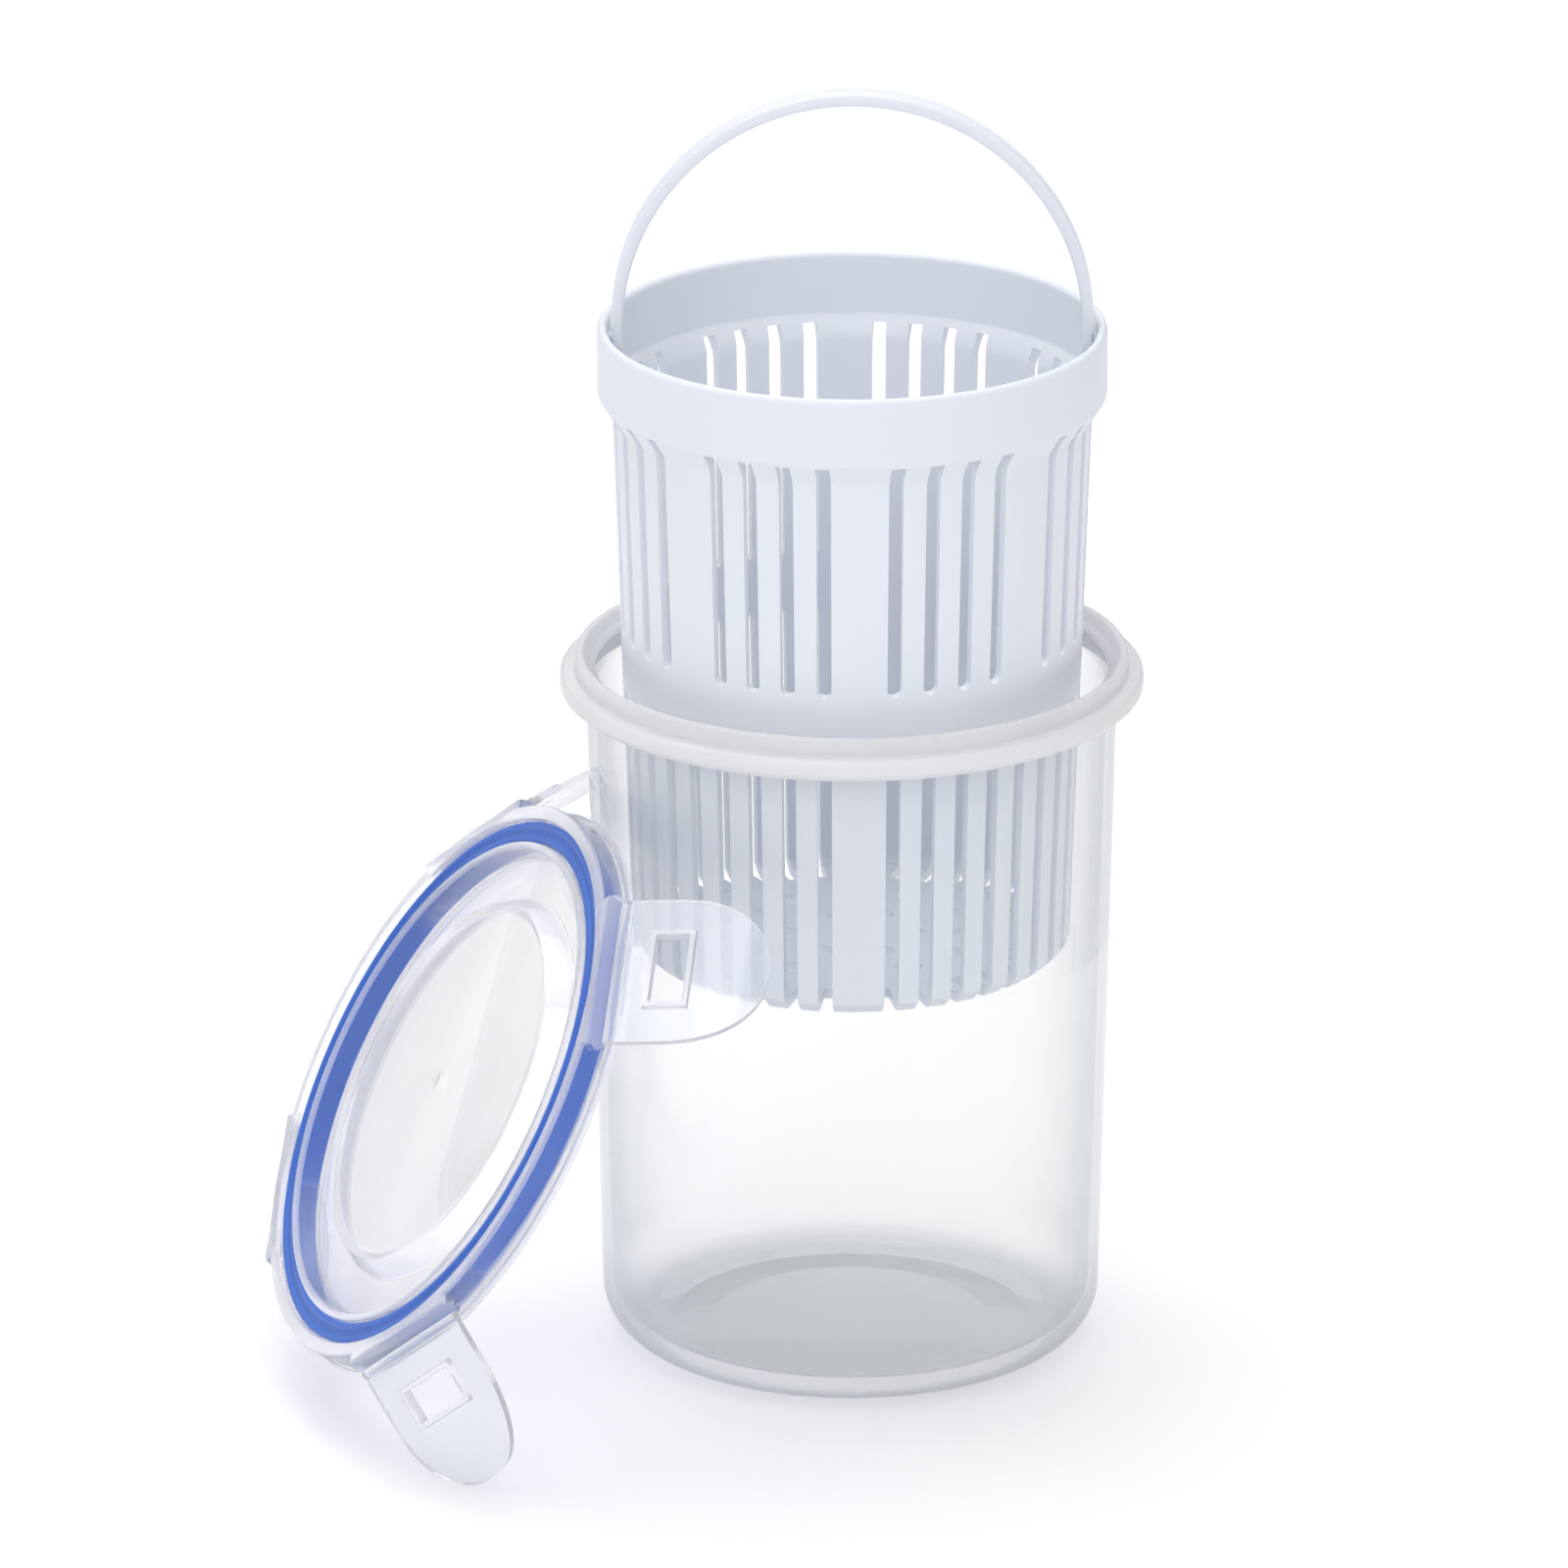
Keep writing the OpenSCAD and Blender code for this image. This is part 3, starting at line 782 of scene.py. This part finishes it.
def lid_cover():
    """One spun outline: panel, recess, plug, seal groove, skirt and flange, with four flat pads."""
    loop = rounded([
        (0, -0.5, 0), (0.7, -0.5, 0.4), (1.7, -0.2, 0.6), (41.3, -0.2, 0.9),
        (44.5, 5.0, 1.2), (PLUG_BORE, 5.0, 0.8), (PLUG_BORE, -0.75, 0.9), (PLUG_R, -0.75, 0.9),
        (PLUG_R, GROOVE_TOP, 0.2), (SKIRT_BORE, GROOVE_TOP, 0.2), (SKIRT_BORE, -0.8, 0.75),
        (SKIRT_R, -0.8, 0.75), (SKIRT_R, 1.55, 0), (SKIRT_R, 3.85, 0), (SKIRT_R, 4.05, 0),
        (SKIRT_R, 5.7, 0.25), (65.0, 5.85, 0.35), (65.0, 7.1, 0.45), (64.3, LID_TOP, 0.3),
        (54.4, LID_TOP, 0.5), (54.1, 6.6, 0.3), (42.9, 6.6, 1.0), (39.8, 1.4, 1.0),
        (2.2, 1.4, 0.1), (1.9, 1.2, 0.1), (0, 1.2, 0)], steps=5, closed=False)
    verts, faces = spun(loop, lid_angles(), press_pads)

    def gets_frost_and_highlight(face):
        """Whether a face is on a pad or on a rim of the skirt, the flange or the plug. These get
        the whiter frosted plastic, which on the rims is a painted edge highlight.
        """
        at = sum((Vector(verts[v]) for v in face), Vector()) / len(face)
        r = at.xy.length
        turned = math.degrees(math.atan2(at.y, at.x)) - FLAP_PHASE
        on_pad = abs((turned + 45) % 90 - 45) < PAD_REACH + 0.3 and r > 62 and at.z < PAD_TOP
        on_skirt_rim = r > 60.3 and at.z < 0.3
        on_flange_rim = r > 64.2 and at.z > 5.7
        on_plug_rim = 53 < r < 56.3 and at.z < 0.2
        return on_pad or on_skirt_rim or on_flange_rim or on_plug_rim

    rims = [f for f, face in enumerate(faces) if gets_frost_and_highlight(face)]
    return piece("clear_lid_cover", verts, faces, LID_CLEAR, "lid", "lid_cover",
                 matrix=LID, frost_and_highlight_faces=rims)


def lid_seal():
    """A ring with two soft lips and a channel between them."""
    low = PLUG_R + 0.1
    high = SKIRT_BORE - 0.3
    loop = rounded([(low + 0.05, 0.9, 0.2), (low + 0.35, 0.3, 0.3), (57.1, 0.0, 0.85),
                    (57.95, 0.75, 0.25), (58.85, 0.75, 0.25), (59.7, 0.0, 0.85),
                    (high, 0.35, 0.35), (high, SEAL_T, 0.35), (low, SEAL_T, 0.35)], steps=5)
    verts, faces = spun(loop, even(SPIN_STEPS))
    return piece("ring_seal", verts, faces, BLUE, "lid", "lid_seal", matrix=LID)


# ---- Lock flaps ----

# A flap is a grid: x runs out from the hinge, y across, and each grid point has an outer and
# an inner side. The window, its raised frame and the frame's sloped foot lie between these.
FLAP_HALF = FLAP_W / 2
TIP_START = FLAP_L - TIP_L
WINDOW_NEAR, WINDOW_FAR = WINDOW_X - WINDOW_W / 2, WINDOW_X + WINDOW_W / 2
WINDOW_HALF = WINDOW_L / 2
FRAME_NEAR, FRAME_FAR = WINDOW_NEAR - WINDOW_FRAME, WINDOW_FAR + WINDOW_FRAME
FRAME_HALF = WINDOW_HALF + WINDOW_FRAME
FOOT_NEAR, FOOT_FAR = FRAME_NEAR - WINDOW_DRAFT, FRAME_FAR + WINDOW_DRAFT
FOOT_HALF = FRAME_HALF + WINDOW_DRAFT


def flap_grid():
    """The grid's xs and ys. The xs are close together where the tip rounds off."""
    barrel = [-1.0, -0.94, -0.77, -0.5, 0.0, 0.5, 0.72, 1.0, 1.3, 1.9, 2.2, 4.2, 6.2]
    window = [FOOT_NEAR, FRAME_NEAR, WINDOW_NEAR, (WINDOW_NEAR + WINDOW_FAR) / 2, WINDOW_FAR,
              FRAME_FAR, FOOT_FAR, 18.2, CURL_START]
    curve = [CURL_START + 2 * k for k in range(1, 6)]
    end = [TIP_START + TIP_L * math.sin(math.radians(a))
           for a in (64, 68, 72, 75.5, 79, 82, 84.5, 86.8, 88.6)]
    ys = [0, 4.2, WINDOW_HALF, FRAME_HALF, FOOT_HALF, 12.6, 15.4, 17.2, FLAP_HALF]
    return sorted(barrel + window + curve + end), [-y for y in ys[:0:-1]] + ys


def flap_heights(x):
    """(outer, inner) distance from the plate's middle surface: barrel, thin film, plate."""
    half = FLAP_T / 2
    if x < 0.71:
        barrel = max(math.sqrt(max(0.0, 1 - x * x)), 0.02)
        return barrel, barrel
    if 1.2 < x < 2.0:
        return half - 0.2, half - 0.25
    return half, half


def flap_point(x, y, side):
    """Where a grid point lies on the outer side (1) or the inner side (-1)."""
    up, down = flap_heights(x)
    if FRAME_NEAR - 0.01 <= x <= FRAME_FAR + 0.01 and abs(y) <= FRAME_HALF + 0.01:
        down += WINDOW_FRAME
    h = up if side > 0 else -down

    # past the window the rows close in on the rounded tip
    rounding = min(0.9998, (max(0.0, x - TIP_START) / TIP_L) ** TIP_POWER)
    half_width = FLAP_HALF * (1 - rounding) ** (1 / TIP_POWER)
    blend = min(1.0, max(0.0, x - FOOT_FAR) / 4.0)
    inner = FOOT_HALF * (1 - blend + blend * half_width / FLAP_HALF)
    if abs(y) <= FOOT_HALF:
        y *= inner / FOOT_HALF
    else:
        outward = (abs(y) - FOOT_HALF) / (FLAP_HALF - FOOT_HALF)
        y = math.copysign(inner + outward * (half_width - inner), y)

    # the plate bends along an arc towards its tip
    bend = max(0.0, x - CURL_START)
    z = CURL_R - math.sqrt(CURL_R ** 2 - bend ** 2)
    slope = math.asin(bend / CURL_R)
    return (x - math.sin(slope) * h, y, z + math.cos(slope) * h)


def flap_mesh():
    """Vertices, faces and the indexes of the faces on the flap's rims and its frame."""
    xs, ys = flap_grid()
    verts, faces, index = [], [], {}

    def vertex(i, j, side):
        if (i, j, side) not in index:
            index[(i, j, side)] = len(verts)
            verts.append(flap_point(xs[i], ys[j], side))
        return index[(i, j, side)]

    # used counts the cells at each edge, and an edge with one cell gets a side wall
    used, rims = {}, []
    for i in range(len(xs) - 1):
        for j in range(len(ys) - 1):
            cx, cy = (xs[i] + xs[i + 1]) / 2, (ys[j] + ys[j + 1]) / 2
            if WINDOW_NEAR < cx < WINDOW_FAR and abs(cy) < WINDOW_HALF:
                continue
            quad = [(i, j), (i + 1, j), (i + 1, j + 1), (i, j + 1)]
            faces.append([vertex(a, b, 1) for a, b in quad])
            if FOOT_NEAR < cx < FOOT_FAR and abs(cy) < FOOT_HALF:
                rims.append(len(faces))
            faces.append([vertex(a, b, -1) for a, b in quad][::-1])
            for a, b in zip(quad, quad[1:] + quad[:1]):
                pair = (b, a) if (b, a) in used else (a, b)
                used[pair] = used.get(pair, 0) + 1
    for (a, b), number in used.items():
        if number == 1:
            rims.append(len(faces))
            faces.append([index[(*a, 1)], index[(*a, -1)], index[(*b, -1)], index[(*b, 1)]])
    return verts, faces, rims


def flap(name, place_no, fold):
    """A plate with a round hinge edge, a framed window and a curved, rounded tip."""
    verts, faces, rims = flap_mesh()
    matrix = (LID @ turn(FLAP_PHASE + 90 * place_no, "Z")
              @ Matrix.Translation((HINGE_R, 0, HINGE_H)) @ turn(-fold, "Y"))
    # the rims and the window frame get the whiter frosted plastic, a painted highlight along the
    # edges
    return piece("lock_flap_" + name, verts, faces, FLAP_CLEAR, "flap_" + name, "flap_" + name,
                 matrix=matrix, bevel=(0.6, 3, 50), frost_and_highlight_faces=rims)


# ---- Studio ----

def floor():
    """A wide pale sheet that curves up at the back. Its colour is painted darker far away, a
    painted shade, so clear edges show.
    """
    mesh = bpy.data.meshes.new("floor")
    # (y, z) in metres
    lines = [(-6.0, 0.0), (6.0, 0.0), (7.2, 0.15), (8.2, 0.7), (8.8, 1.7), (9.0, 3.2)]
    verts = [(x, y, z) for y, z in lines for x in (-8.0, 8.0)]
    faces = [[2 * i, 2 * i + 1, 2 * i + 3, 2 * i + 2] for i in range(len(lines) - 1)]
    mesh.from_pydata(verts, [], faces)
    mesh.shade_smooth()
    material, tree, p = shader("pale_paper_painted_dark_far", Roughness=0.75, Specular_IOR_Level=0.2)
    where = tree.nodes.new("ShaderNodeTexCoord")
    distance = tree.nodes.new("ShaderNodeVectorMath")
    distance.operation = "LENGTH"
    spread = tree.nodes.new("ShaderNodeMapRange")
    spread.inputs["From Min"].default_value = 1.3
    spread.inputs["From Max"].default_value = 3.0
    ramp = tree.nodes.new("ShaderNodeValToRGB")
    ramp.color_ramp.interpolation = "EASE"
    # the base colour is painted shade: pale near the middle and darker grey far away
    ramp.color_ramp.elements[0].color = (0.92, 0.92, 0.925, 1)
    ramp.color_ramp.elements[1].color = (0.34, 0.35, 0.37, 1)
    tree.links.new(where.outputs["Object"], distance.inputs[0])
    tree.links.new(distance.outputs["Value"], spread.inputs["Value"])
    tree.links.new(spread.outputs["Result"], ramp.inputs["Fac"])
    tree.links.new(ramp.outputs["Color"], p.inputs["Base Color"])
    mesh.materials.append(material)
    obj = bpy.data.objects.new("floor", mesh)
    bpy.context.scene.collection.objects.link(obj)


def area(name, at, target, size, power):
    """A square area light that faces a point, in metres and watts."""
    light = bpy.data.lights.new(name, "AREA")
    light.shape = "SQUARE"
    light.size = size
    light.energy = power
    obj = bpy.data.objects.new(name, light)
    obj.location = at
    obj.rotation_euler = (Vector(target) - Vector(at)).to_track_quat("-Z", "Y").to_euler()
    bpy.context.scene.collection.objects.link(obj)


def surroundings():
    """Soft white all round: brighter towards the top, and dimmer to the left and right."""
    world = bpy.data.worlds.new("studio")
    world.use_nodes = True
    tree = world.node_tree
    sky = tree.nodes["Background"]
    where = tree.nodes.new("ShaderNodeTexCoord")
    split = tree.nodes.new("ShaderNodeSeparateXYZ")
    tree.links.new(where.outputs["Generated"], split.inputs["Vector"])

    # the level by height, from straight down at 0 to straight up at 1
    stops = [(0.0, 0.8), (0.5, 0.8), (0.56, 0.85), (0.7, 0.95), (0.9, 1.05)]
    height = tree.nodes.new("ShaderNodeMapRange")
    height.inputs["From Min"].default_value = -1.0
    ramp = tree.nodes.new("ShaderNodeValToRGB")
    ramp.color_ramp.elements[0].position = stops[0][0]
    ramp.color_ramp.elements[1].position = stops[-1][0]
    for stop, _ in stops[1:-1]:
        ramp.color_ramp.elements.new(stop)
    for element, (_, level) in zip(ramp.color_ramp.elements, stops):
        element.color = (level, level, level * 1.01, 1)
    tree.links.new(split.outputs["Z"], height.inputs["Value"])
    tree.links.new(height.outputs["Result"], ramp.inputs["Fac"])

    # how much of it is left towards each side
    side = tree.nodes.new("ShaderNodeMath")
    side.operation = "POWER"
    side.inputs[1].default_value = 2.0
    dim = tree.nodes.new("ShaderNodeMapRange")
    dim.inputs["To Min"].default_value = 1.0
    dim.inputs["To Max"].default_value = 0.6
    mixed = tree.nodes.new("ShaderNodeVectorMath")
    mixed.operation = "SCALE"
    tree.links.new(split.outputs["X"], side.inputs[0])
    tree.links.new(side.outputs["Value"], dim.inputs["Value"])
    tree.links.new(ramp.outputs["Color"], mixed.inputs[0])
    tree.links.new(dim.outputs["Result"], mixed.inputs["Scale"])
    tree.links.new(mixed.outputs["Vector"], sky.inputs["Color"])
    sky.inputs["Strength"].default_value = 1.0
    bpy.context.scene.world = world


def studio():
    """The floor, the surroundings and two soft lights, shown without a film look."""
    floor()
    surroundings()
    area("top_softbox", (-0.3, 0.5, 1.9), (0, 0, 0.08), size=1.4, power=12.5)
    area("front_softbox", (-0.5, -2.2, 1.5), (0, 0, 0.15), size=0.9, power=10)
    bpy.context.scene.view_settings.view_transform = "Standard"


def camera():
    """A long lens from far away, which keeps upright lines nearly parallel."""
    data = bpy.data.cameras.new("camera")
    data.lens = CAMERA_LENS
    data.sensor_width = 36.0
    data.clip_start = 0.05
    data.clip_end = 60.0
    obj = bpy.data.objects.new("camera", data)
    obj.location = CAMERA_AT
    obj.rotation_euler = (math.radians(90 - CAMERA_DOWN), 0, 0)
    bpy.context.scene.collection.objects.link(obj)
    bpy.context.scene.camera = obj


jar()
collar()
basket()
handle()
lid_cover()
lid_seal()
for flap_name, (place_no, fold) in FLAPS.items():
    flap(flap_name, place_no, fold)
studio()
camera()
